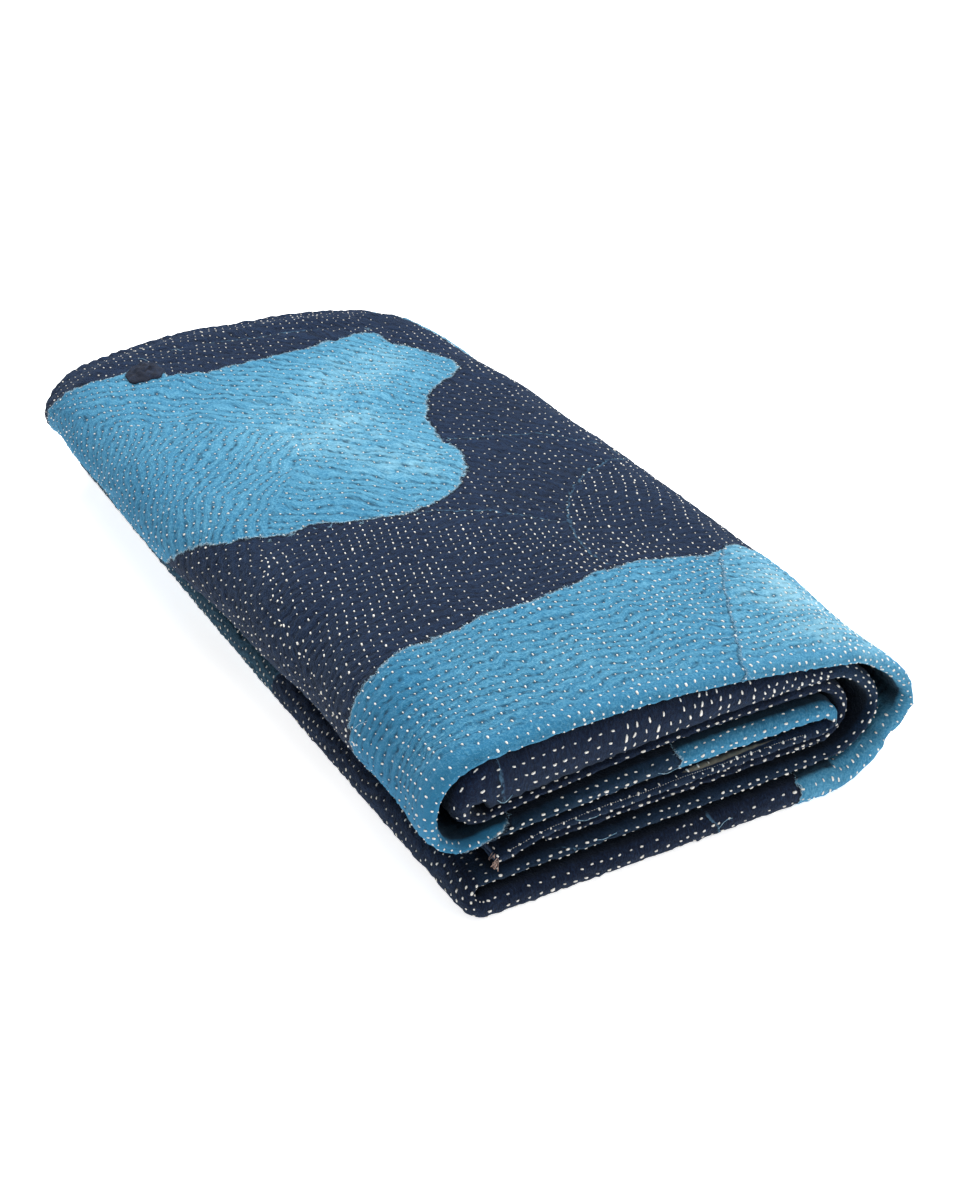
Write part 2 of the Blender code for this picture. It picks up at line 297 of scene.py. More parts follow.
# thin frayed seams between pieces of the same dye: u, w
seams = {
    "rightUpper": [(0.207, 0.441), (0.245, 0.431), (0.287, 0.422), (0.304, 0.410), (0.326, 0.404),
                   (0.345, 0.385)],
    "middle": [(0.117, 0.317), (0.156, 0.300), (0.175, 0.286), (0.194, 0.264), (0.208, 0.256)],
    "rightArc": [(0.345, 0.382), (0.301, 0.355), (0.269, 0.332), (0.235, 0.295), (0.208, 0.248),
                 (0.195, 0.208), (0.192, 0.178), (0.199, 0.167)],
    "frontPale": [(0.305, 0.178), (0.299, 0.171), (0.275, 0.140), (0.257, 0.107), (0.235, 0.075),
                  (0.213, 0.042), (0.196, 0.013), (0.190, -0.010)],
    "farBand": [(0.120, 0.745), (0.149, 0.741), (0.168, 0.738), (0.194, 0.734), (0.226, 0.727)],
    "roll": [(1.482, -0.012), (1.486, 0.0), (1.480, 0.011)],
    "bottom": [(0.607, -0.020), (0.602, -0.004), (0.594, 0.012)],
    "second": [(0.891, 0.006), (0.901, 0.001), (0.911, -0.003), (0.924, -0.010)],
}
rightPiece = seams["frontPale"] + [(0.190, -0.060), (0.560, -0.060), (0.560, 0.240), (0.305, 0.240)]
# pale or worn places: u, w, reach in u and w, strength; below zero is painted shade that darkens the dye
fadeAndShadeSpots = [
    (0.130, 0.500, 0.080, 0.120, 0.9), (0.200, 0.620, 0.070, 0.060, 0.6), (0.310, 0.070, 0.045, 0.080, 0.6),
    (0.345, 0.120, 0.050, 0.080, 0.5), (0.120, 0.080, 0.070, 0.040, 0.2), (0.260, 0.640, 0.040, 0.060, 0.5),
    (0.170, 0.390, 0.060, 0.050, 0.4), (-0.100, 0.050, 0.060, 0.120, -1.5),
    (-0.020, 0.110, 0.030, 0.040, -0.6), (-0.060, 0.600, 0.035, 0.300, -0.5)]
rightPieceFaded = 0.35    # the separate piece at the right of the front patch
# how far each run leans from the common navy: above zero towards teal dye, below zero towards black, painted
# shade on the recessed runs
dyeAndShadeLean = dict(hem=0.25, tongue=1.0, top=0.0, bottom=-0.55, second=0.55, roll=-0.30, underRoll=-0.1,
               third=-0.4)
# painted shade on the left side of the top run, darker towards black: how far, from which u, over what
# reach, and how far down
darkSide = dict(lean=0.95, fromU=-0.045, reach=0.03, wraps=0.13)
# creases, one by one: line in u, w, depth (below zero is a ridge) and reach
creases = [
    ([(0.060, 0.757), (0.109, 0.752), (0.168, 0.740), (0.226, 0.729), (0.270, 0.722)], 0.0016, 0.0060),
    ([(0.020, 0.772), (0.100, 0.780), (0.200, 0.760), (0.270, 0.742)], -0.0018, 0.0110),
    ([(0.030, 0.742), (0.000, 0.750), (-0.035, 0.757), (-0.060, 0.775)], 0.0016, 0.0060),
    ([(0.068, 0.722), (0.110, 0.712), (0.160, 0.715)], 0.0012, 0.0060),
    ([(-0.040, 0.036), (0.020, 0.027), (0.090, 0.024), (0.150, 0.022), (0.188, 0.027)], 0.0017, 0.0050),
    ([(0.205, 0.020), (0.250, 0.024), (0.300, 0.021), (0.345, 0.026)], 0.0015, 0.0050),
    ([(-0.020, 0.062), (0.060, 0.052), (0.130, 0.050), (0.190, 0.046)], 0.0010, 0.0055),
    ([(-0.110, 0.014), (-0.096, 0.060), (-0.084, 0.105)], 0.0016, 0.0050),
    ([(-0.080, 0.020), (-0.070, 0.070), (-0.062, 0.112)], -0.0012, 0.0060),
    ([(0.372, 0.020), (0.366, 0.090), (0.352, 0.170), (0.350, 0.260)], -0.0012, 0.0120),
    ([(0.446, -0.030), (0.437, 0.000), (0.430, 0.030), (0.424, 0.075)], 0.0034, 0.0055),
    ([(0.398, -0.016), (0.402, 0.020), (0.408, 0.060)], -0.0016, 0.0070),
    ([(-0.070, 0.300), (-0.085, 0.380), (-0.080, 0.470)], 0.0012, 0.0080),
    ([(-0.060, 0.560), (-0.082, 0.620), (-0.078, 0.700)], 0.0012, 0.0070),
]


def softened(points, closed=True):    # the same outline with its corners rounded off
    line = np.array(points, float)
    for _ in range(2):
        here, ahead = (line, np.roll(line, -1, 0)) if closed else (line[:-1], line[1:])
        cut = np.stack((here * 0.75 + ahead * 0.25, here * 0.25 + ahead * 0.75), 1).reshape(-1, 2)
        line = cut if closed else np.concatenate((line[:1], cut, line[-1:]))
    return [tuple(point) for point in line]


patches = {name: softened(outline) for name, outline in patches.items()}
tealPatch = softened(tealPatch)
seams = {name: softened(line, closed=False) for name, line in seams.items()}


def nearestOn(pu, pw, start, end):    # distance to a straight stretch, and which side of it
    du, dw = end[0] - start[0], end[1] - start[1]
    t = np.clip(((pu - start[0]) * du + (pw - start[1]) * dw) / (du * du + dw * dw), 0, 1)
    away = np.hypot(pu - start[0] - du * t, pw - start[1] - dw * t)
    return away, np.where(du * (pw - start[1]) - dw * (pu - start[0]) < 0, -1, 1)


def signedDistance(pu, pw, outline):    # above zero inside
    best = np.full(np.shape(pu), 9.0)
    inside = np.zeros(np.shape(pu), bool)
    for start, end in zip(outline, outline[1:] + outline[:1]):
        best = np.minimum(best, nearestOn(pu, pw, start, end)[0])
        rise = end[1] - start[1]
        crosses = (start[1] > pw) != (end[1] > pw)
        inside ^= crosses & (pu < start[0] + (end[0] - start[0]) * (pw - start[1]) / (rise or 1e-9))
    return np.where(inside, best, -best)


# the wandering of a torn edge, slow and quick, metres
tornEdge = dict(slow=0.0013, quick=0.0009, onSeam=0.8)


def wander(pu, pw):    # how far a torn edge strays from its drawn line
    return tornEdge["slow"] * waves(pu, pw, 41, 0.030, 6) + tornEdge["quick"] * waves(pu, pw, 42, 0.011, 9)


def paleField(pu, pw):
    return np.max([signedDistance(pu, pw, outline) for outline in patches.values()], axis=0) + wander(pu, pw)


def tealField(pu, pw):
    return signedDistance(pu, pw, tealPatch) + wander(pu, pw)


def seamField(pu, pw):    # signed by the side of the nearest seam
    best = np.full(np.shape(pu), 0.1)
    for line in seams.values():
        for start, end in zip(line, line[1:]):
            away, side = nearestOn(pu, pw, start, end)
            best = np.where(away < abs(best), away * side, best)
    return best + wander(pu, pw) * tornEdge["onSeam"]


def creaseField(pu, pw):
    total = 0
    for line, depth, reach in creases:
        away = np.min([nearestOn(pu, pw, start, end)[0] for start, end in zip(line, line[1:])], axis=0)
        total = total - depth * np.exp(-(away / reach) ** 2)
    return total


def fadeAndShadeField(pu, pw):
    total = 0
    for cu, cw, ru, rw, strength in fadeAndShadeSpots:
        total = total + strength * np.exp(-((pu - cu) / ru) ** 2 - ((pw - cw) / rw) ** 2)
    return total + rightPieceFaded * smooth(signedDistance(pu, pw, rightPiece) / 0.002 + 0.5)


def leanField(pu, pw):
    names = sorted(uOf, key=uOf.get)
    lean = np.array([dyeAndShadeLean[name] for name in names])
    starts = [uOf[name] - (darkSide["wraps"] if name == "top" else 0) for name in names]
    run = np.clip(np.searchsorted(starts, pu, side="right") - 1, 0, len(names) - 1)
    # painted shade on the left side of the top run
    side = smooth((darkSide["fromU"] - pu) / darkSide["reach"]) * (pu > -darkSide["wraps"]) * (pw > 0)
    return lean[run] - darkSide["lean"] * side


# painted shade in the deepest parts of the folds, between the layers
gap = dict(fromW=0.0092, slitFromW=0.0066, reach=0.0024, wrapFrom=0.40, wrapReach=0.03, backEnd=0.74,
           fade=0.04, slitEnd=0.27, beforeThird=0.03, pastBottom=0.02, beforeSecond=0.06, pastSecond=0.01,
           pastHem=0.008, stitchesUpTo=0.45)


def gapShadeField(pu, pw):    # painted shade: 1 between the folds, 0 on the faces that show
    onWrap = (pu > -darkSide["wraps"]) & (pu < uOf["bottom"] + gap["pastBottom"])
    onLower = (pu > uOf["second"] - gap["beforeSecond"]) & (pu < uOf["second"] + gap["pastSecond"])
    isOuter = ((onWrap | onLower) & (pw > 0)) | (pu < uOf["hem"] + gap["pastHem"])
    # above the roll, and between it and the run under it
    isSlit = (pw > 0) | (pu < uOf["roll"] + gap["slitEnd"])
    isSlit = isSlit & (pu > uOf["roll"]) & (pu < uOf["third"] - gap["beforeThird"])
    depth = np.abs(pw) - np.where(isSlit, gap["slitFromW"], gap["fromW"])
    inside = smooth(depth / gap["reach"]) * (1 - smooth((np.abs(pw) - gap["backEnd"]) / gap["fade"]))
    # the wrap lets light in below
    isLit = smooth((pu - gap["wrapFrom"]) / gap["wrapReach"]) * (pu < uOf["bottom"])
    return np.where(isOuter, 0, inside * (1 - isLit))


# rows of running stitch, in five fields: front, left side, back, the thin folds under the top, the roll
# across and along are the directions in u, w that cross the rows and that count the stitches
rows = dict(rowGap=0.0077, pitch=0.0086, valley=0.00135,
            across=((1, 0), (0.447, 0.894), (1, -0.19), (0, 1), (0, 1.75)),
            along=((0, 1), (0.80, -0.40), (0.57, 0.54), (1, 0), (1, 0)),
            unrest=(0.50, 0.40, 0.36, 0.4, 0.4), shortened=(1, 0.68, 0.68, 1, 1),
            backHeading=-1.10, foldsBefore=-0.14, foldsAfter=0.52, topReach=(-0.16, 0.53), sideFromW=0.012,
            beforeRoll=0.015, pastRoll=0.28)
# how the rows bend: along w on the front, over a hump there, and round on the side's part of the back patch
bends = dict(front=-0.055, frontFrom=0.15, frontReach=0.22, frontWave=0.005, hump=0.030, humpAt=(0.24, 0.30),
             humpReach=(0.10, 0.12), drift=0.0035, shake=0.0010, sway=0.004, backSway=1.5, underSway=0.8,
             turnFrom=0.33, turnReach=0.14, turnAt=0.38, turnAcross=0.253, turnAlong=0.184)
# the left shoulder, where the rows of the top meet the rows of the side: w, u
shoulder = np.array([
    (-0.06, -0.080), (0.09, -0.073), (0.126, -0.065), (0.186, -0.058), (0.228, -0.051), (0.266, -0.040),
    (0.307, -0.026), (0.36, 0.001), (0.40, 0.031), (0.433, 0.061), (0.475, 0.088), (0.505, 0.095),
    (0.530, 0.085), (0.55, 0.069), (0.575, 0.045), (0.60, 0.018), (0.635, -0.010), (0.674, -0.031),
    (0.72, -0.043), (0.81, -0.060)])
# where the front field ends on the top, along the seams: u, w
frontEnd = np.array([
    (-0.20, 0.300), (0.0, 0.345), (0.08, 0.325), (0.117, 0.317), (0.175, 0.286), (0.208, 0.252),
    (0.235, 0.295), (0.301, 0.355), (0.345, 0.382), (0.52, 0.400)])
frontField, sideField, backField, underField, rollField = range(5)


def shoulderU(pw):
    return np.interp(pw, shoulder[:, 0], shoulder[:, 1])


def fieldAt(pu, pw):
    field = np.where(pw > np.interp(pu, frontEnd[:, 0], frontEnd[:, 1]), backField, frontField)
    field = np.where((pu < shoulderU(pw)) & (pw > rows["sideFromW"]), sideField, field)
    field = np.where((pu < rows["foldsBefore"]) | (pu > rows["foldsAfter"]), underField, field)
    onRoll = (pu > uOf["roll"] - rows["beforeRoll"]) & (pu < uOf["roll"] + rows["pastRoll"])
    return np.where(onRoll, rollField, field)


def hashed(whole, seed):    # an even draw from 0 to 1 for each whole number
    return np.modf(np.abs(np.sin(whole * 12.9898 + seed * 78.233)) * 43758.5453)[0]


def rowCoords(pu, pw, field):    # rows across, stitches along
    bend = bends["front"] * smooth((pw - bends["frontFrom"]) / bends["frontReach"])
    bend = bend + bends["frontWave"] * waves(pu, pw, 21, 0.22, 4)
    (humpU, humpW), (reachU, reachW) = bends["humpAt"], bends["humpReach"]
    bend = bend + bends["hump"] * np.exp(-((pu - humpU) / reachU) ** 2 - ((pw - humpW) / reachW) ** 2)
    drift = bends["drift"] * waves(pu, pw, 22, 0.070, 8) + bends["shake"] * waves(pu, pw, 23, 0.024, 8)
    sway = bends["sway"] * waves(pu, pw, 24, 0.2, 4)
    turned = smooth((pw - bends["turnFrom"]) / bends["turnReach"])
    byAcross, byAlong, pastTurn = bends["turnAcross"], bends["turnAlong"], pw - bends["turnAt"]
    acrossIn = [a * pu + b * pw for a, b in rows["across"]]
    alongIn = [a * pu + b * pw for a, b in rows["along"]]
    acrossIn[frontField] = acrossIn[frontField] + bend
    acrossIn[sideField] = acrossIn[sideField] + sway + turned * (byAcross * pu - byAlong * pastTurn)
    acrossIn[backField] = acrossIn[backField] + sway * bends["backSway"]
    acrossIn[underField] = acrossIn[underField] + sway * bends["underSway"]
    acrossIn[rollField] = acrossIn[rollField] + sway
    alongIn[sideField] = alongIn[sideField] - turned * (byAlong * pu + byAcross * pastTurn)
    across = np.choose(field, acrossIn) / rows["rowGap"]
    along = (np.choose(field, alongIn) + drift) / rows["pitch"]
    row = np.floor(across)
    share = smooth(across - row)
    jitter = hashed(row, 3) * (1 - share) + hashed(row + 1, 3) * share
    return across, along + np.choose(field, rows["unrest"]) * jitter


# how the surface stands up and sinks, metres and shares
relief = dict(besideRow=0.55, pullLeast=0.15, pullMore=1.1, stray=0.34, lumps=0.00034, fineLumps=0.0002,
              swell=0.0010, patch=0.00045, patchRise=0.0015)


def heightField(pu, pw, pale):
    across, along = rowCoords(pu, pw, fieldAt(pu, pw))
    nearRow = 0.5 + 0.5 * np.cos(2 * math.pi * across)
    strayed = along + relief["stray"] * (1 - nearRow) * waves(pu, pw, 35, 0.014, 8)    # only beside stitches
    valley = (0.5 + 0.5 * np.cos(2 * math.pi * strayed)) ** 1.5
    row, stitch = np.floor(across), np.floor(along + 0.5)
    share = smooth(across - row)    # every stitch pulls the cloth down as far as it likes
    pull = hashed(row * 31 + stitch, 5) * (1 - share) + hashed(row * 31 + 31 + stitch, 5) * share
    low = -rows["valley"] * valley * (relief["pullLeast"] + relief["pullMore"] * pull)
    low = low * (relief["besideRow"] + (1 - relief["besideRow"]) * nearRow)
    lumps = relief["lumps"] * waves(pu * 0.6, pw, 32, 0.007, 9)
    lumps = lumps + relief["fineLumps"] * waves(pu, pw, 34, 0.0055, 9)
    onTop = smooth((pw - 0.01) / 0.04) * smooth((pu + 0.12) / 0.05) * smooth((0.46 - pu) / 0.05)
    swell = relief["swell"] * onTop * waves(pu, pw, 33, 0.12, 6)
    patch = relief["patch"] * smooth(pale / relief["patchRise"])
    return low + lumps + swell + patch + creaseField(pu, pw)


# mesh of the quilt
outer = [None] * columnCount
columnW = [fineW if fine else coarseW for fine in fineColumn]
columnStart = np.concatenate(([0], np.cumsum([len(w) for w in columnW])[:-1]))
for fine, table in ((True, fineTable), (False, coarseTable)):
    which = np.nonzero(fineColumn == fine)[0]
    for column, points in zip(which, place(which, table, 0)):
        outer[column] = points
outerCo = np.concatenate(outer)
outerCount = len(outerCo)
pu, pw = np.repeat(u, [len(w) for w in columnW]), np.concatenate(columnW)


def zipLines(a, ta, b, tb):    # triangles between two lines of vertices by their falling parameter
    faces = []
    i = j = 0
    while i < len(a) - 1 or j < len(b) - 1:
        if j == len(b) - 1 or (i < len(a) - 1 and ta[i + 1] >= tb[j + 1]):
            faces.append((a[i], a[i + 1], b[j]))
            i += 1
        else:
            faces.append((a[i], b[j + 1], b[j]))
            j += 1
    return faces


triangles, quads = [], []
for column in range(columnCount - 1):
    wa, wb = columnW[column], columnW[column + 1]
    a = columnStart[column] + np.arange(len(wa))
    b = columnStart[column + 1] + np.arange(len(wb))
    if len(wa) == len(wb):
        quads.append(np.stack((a[:-1], a[1:], b[1:], b[:-1]), 1))
    else:
        triangles += zipLines(a, wa, b, wb)

innerColumns = np.unique(np.r_[np.arange(0, columnCount, mesher["innerEvery"]), columnCount - 1])
innerPoints = place(innerColumns, innerTable, fold["thick"])
lineCount = len(innerTable)
innerIndex = outerCount + np.arange(len(innerColumns) * lineCount).reshape(len(innerColumns), lineCount)
innerQuads = (innerIndex[:-1, :-1], innerIndex[1:, :-1], innerIndex[1:, 1:], innerIndex[:-1, 1:])
quads.append(np.stack(innerQuads, 2).reshape(-1, 4))
innerW = lineW(innerTable)
for column, side in ((0, 0), (columnCount - 1, -1)):
    a = columnStart[column] + np.arange(len(columnW[column]))
    strip = zipLines(a, columnW[column], innerIndex[side], innerW)
    triangles += strip if side else [face[::-1] for face in strip]
for back in (0, -1):
    edge = columnStart + (0 if back == 0 else np.array([len(w) - 1 for w in columnW]))
    strip = zipLines(edge, -np.arange(columnCount), innerIndex[:, back], -innerColumns)
    triangles += [face[::-1] for face in strip] if back else strip

allCo = np.concatenate((outerCo, innerPoints.reshape(-1, 3)))
faces = np.concatenate(quads).tolist() + [list(map(int, face)) for face in triangles]
mesh = bpy.data.meshes.new("quilt")
mesh.from_pydata(allCo.tolist(), [], faces)
mesh.update()


def normalsFrom(data):
    out = np.empty(len(data.vertices) * 3, np.float32)
    data.vertex_normals.foreach_get("vector", out)
    return out.reshape(-1, 3).astype(float)


# the top run shows whether the faces came out inwards
baseNormal = normalsFrom(mesh)[:outerCount]
probe = columnStart[runStart["top"] + 40] + 100
if baseNormal[probe][2] < 0:
    mesh.flip_normals()
    baseNormal = -baseNormal
innerU = np.repeat(u[innerColumns], lineCount)
innerWs = np.tile(innerW, len(innerColumns))
fullU, fullW = np.concatenate((pu, innerU)), np.concatenate((pw, innerWs))
pale = paleField(fullU, fullW)
height = heightField(pu, pw, pale[:outerCount])
outerCo = outerCo + baseNormal * height[:, None]
outerCo[:, 2] = np.maximum(outerCo[:, 2], 0)
allCo[:outerCount] = outerCo
mesh.vertices.foreach_set("co", allCo.ravel())
mesh.update()
outerNormal = normalsFrom(mesh)[:outerCount]
print("quilt verts", len(allCo), "triangles", sum(len(face) - 2 for face in faces))


def addFloat(name, values):
    layer = mesh.attributes.new(name, "FLOAT", "POINT")
    layer.data.foreach_set("value", values.astype(np.float32))


fieldLimit = 0.1    # metres, past which a distance is of no use
for name, values in (("pale", pale), ("teal", tealField(fullU, fullW)),
                     ("beige", signedDistance(fullU, fullW, beigePatch))):
    addFloat(name, np.clip(values, -fieldLimit, fieldLimit))
for name, field in (("seam", seamField), ("fadeAndShade", fadeAndShadeField), ("lean", leanField), ("gap", gapShadeField)):
    addFloat(name, field(fullU, fullW))
loopVerts = np.empty(len(mesh.loops), int)
mesh.loops.foreach_get("vertex_index", loopVerts)
loopFace = np.repeat(np.arange(len(mesh.polygons)), [len(face) for face in faces])
loopU, loopW = fullU[loopVerts], fullW[loopVerts]
sizes = np.bincount(loopFace)
middleU, middleW = np.bincount(loopFace, loopU) / sizes, np.bincount(loopFace, loopW) / sizes
loopField = fieldAt(middleU, middleW)[loopFace]
for name, (a, b) in (("cloth", (loopU, loopW)), ("rows", rowCoords(loopU, loopW, loopField))):
    layer = mesh.uv_layers.new(name=name)
    layer.uv.foreach_set("vector", np.stack((a, b), 1).astype(np.float32).ravel())
mesh.shade_smooth()
quilt = addObject("quilt_cloth", mesh)


def columnAt(qu, fromEnd=1):    # the last column before u
    return np.clip(np.searchsorted(u, qu) - 1, 0, columnCount - fromEnd)


def onCloth(qu, qw):    # point and normal on the cloth at u, w
    column = columnAt(qu, 2)
    share = ((qu - u[column]) / (u[column + 1] - u[column]))[:, None]
    ends = []
    for c in (column, column + 1):
        point, normal = np.empty((len(qu), 3)), np.empty((len(qu), 3))
        for fine, w in ((True, fineW), (False, coarseW)):
            here = fineColumn[c] == fine
            rising = w[::-1]
            k = np.clip(np.searchsorted(rising, qw[here]) - 1, 0, len(w) - 2)
            t = ((qw[here] - rising[k]) / (rising[k + 1] - rising[k]))[:, None]
            low = columnStart[c[here]] + len(w) - 1 - k
            point[here] = outerCo[low] * (1 - t) + outerCo[low - 1] * t
            normal[here] = outerNormal[low] * (1 - t) + outerNormal[low - 1] * t
        ends.append((point, normal))
    point = ends[0][0] * (1 - share) + ends[1][0] * share
    normal = ends[0][1] * (1 - share) + ends[1][1] * share
    return point, normal / np.linalg.norm(normal, axis=1)[:, None]


# material helpers
class Maths:    # a shader socket that can be used in expressions
    def __init__(self, graph, socket):
        self.graph, self.socket = graph, socket

    def op(self, operation, *others):
        values = dict(enumerate((self,) + others))
        return self.graph.node("ShaderNodeMath", dict(operation=operation), values)[0]

    def __add__(self, other):
        return self.op("ADD", other)

    def __sub__(self, other):
        return self.op("SUBTRACT", other)

    def __rsub__(self, other):
        return (self * -1).op("ADD", other)

    def __mul__(self, other):
        return self.op("MULTIPLY", other)

    def __pow__(self, other):
        return self.op("POWER", other)

    def __neg__(self):
        return self * -1

    def __abs__(self):
        return self.op("ABSOLUTE")

    __radd__, __rmul__ = __add__, __mul__

    def cos(self):
        return self.op("COSINE")

    def clamp(self):
        return self.op("MINIMUM", 1).op("MAXIMUM", 0)

    def ease(self, low, high):
        return self.graph.node("ShaderNodeMapRange", dict(interpolation_type="SMOOTHSTEP"),
                               {"Value": self, "From Min": low, "From Max": high})[0]


class Graph:
    def __init__(self, name):
        self.material = bpy.data.materials.new(name)
        self.material.use_nodes = True
        self.tree = self.material.node_tree
        self.shader = self.tree.nodes["Principled BSDF"]

    def put(self, target, value):
        if isinstance(value, Maths):
            self.tree.links.new(value.socket, target)
        else:
            target.default_value = value

    def node(self, kind, settings=None, values=None):
        made = self.tree.nodes.new(kind)
        for key, value in (settings or {}).items():
            setattr(made, key, value)
        for key, value in (values or {}).items():
            self.put(made.inputs[key], value)
        return [Maths(self, socket) for socket in made.outputs]

    def mix(self, factor, a, b):
        return self.node("ShaderNodeMix", dict(data_type="RGBA"), {0: factor, 6: a, 7: b})[2]

    def scaled(self, vector, by):
        return self.node("ShaderNodeVectorMath", dict(operation="MULTIPLY"), {0: vector, 1: by})[0]

    def noise(self, vector, scale, detail=2.0, rough=0.5):
        return self.node("ShaderNodeTexNoise", {},
                         {"Vector": vector, "Scale": scale, "Detail": detail, "Roughness": rough})[0]

    def uv(self, name):
        return self.node("ShaderNodeUVMap", dict(uv_map=name))[0]

    def axes(self, vector):
        return self.node("ShaderNodeSeparateXYZ", {}, {0: vector})

    def bump(self, height, distance, strength=0.9):
        values = {"Strength": strength, "Distance": distance, "Height": height}
        return self.node("ShaderNodeBump", {}, values)[0]

    def shade(self, **values):
        for key, value in values.items():
            self.put(self.shader.inputs[key.replace("_", " ")], value)


def tone(red, green, blue):    # screen colour, 0 to 255, as linear
    shares = [c / 255 for c in (red, green, blue)]
    return tuple(c / 12.92 if c <= 0.04045 else ((c + 0.055) / 1.055) ** 2.4 for c in shares) + (1,)


dyes = dict(navy=tone(16, 26, 48), navyWorn=tone(36, 58, 92), navySea=tone(16, 42, 62),
            navyShade=tone(12, 16, 34), pale=tone(50, 124, 164), paleWorn=tone(118, 188, 218),
            paleFaded=tone(160, 208, 226), fray=tone(186, 216, 230), seam=tone(96, 140, 172),
            teal=tone(30, 64, 84), tealWorn=tone(66, 104, 124), beige=tone(150, 142, 124),
            shade=tone(6, 11, 24))
# how much each kind of wear lightens the dye, less the last for all of them; the ridge share also paints
# highlight on the pucker ridges
wearAndHighlightShare = dict(streak=0.46, ridge=0.30, crinkle=0.34, weave=0.24, grain=0.46, fuzz=0.30, cloud=0.4,
                 less=0.68)
# how far each mark covers the dye: painted shade in the stitch dimples, beside patch edges and seams and
# between the folds; frayed thread colour on the edges and seams
cover = dict(valley=0.95, deep=0.80, outside=0.75, shadowBelowSeam=0.55, edge=0.75, seam=0.55, tealEdge=0.6,
             gap=0.88)
# how high each thing stands in the bump, metres
stands = dict(valley=-0.0009, pucker=0.0013, streak=0.0008, crinkle=0.0008, weave=0.00018, fuzz=0.0006,
              grain=0.0005, patch=0.0005, edge=0.0004, seam=0.0005)
# noise scales along the cloth, and how far noise tears an edge
noiseOf = dict(fine=640, ragged=270, grain=560, weave=1100, fuzz=420, cloud=11, patchy=36)
tearing = dict(ragged=0.0062, fine=0.0024, seamShare=0.7)


